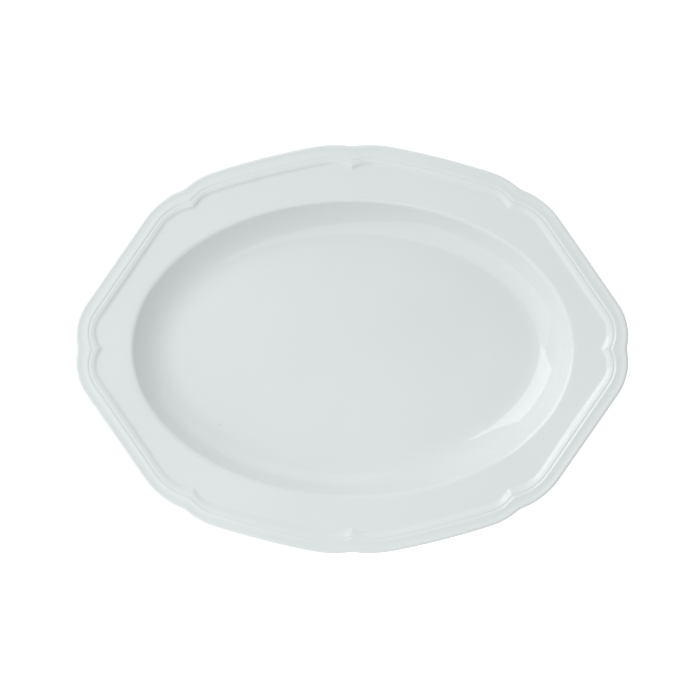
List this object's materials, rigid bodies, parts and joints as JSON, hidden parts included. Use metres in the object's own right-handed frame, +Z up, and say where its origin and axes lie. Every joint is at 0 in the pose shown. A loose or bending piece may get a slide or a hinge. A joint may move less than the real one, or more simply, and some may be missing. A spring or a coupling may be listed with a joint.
{
  "type": "serving platter",
  "caption": "Oval-welled white porcelain platter with a scalloped rim, a stepped moulded border and a bare foot ring.",
  "frame": {"origin": "middle of the platter in plan, on the table it stands on", "axes": "+X along the platter's length, +Y across its width, +Z up, out of the well"},
  "size_m": [0.368, 0.272, 0.03],
  "materials": {
    "fired_clay": "matte",
    "bare_foot": "matte",
    "glaze": "gloss"
  },
  "bodies": {
    "root": {"porcelain_body": "fired_clay", "foot_ring": "bare_foot", "outer_glaze": "glaze", "base_glaze": "glaze"}
  },
  "joints": []
}
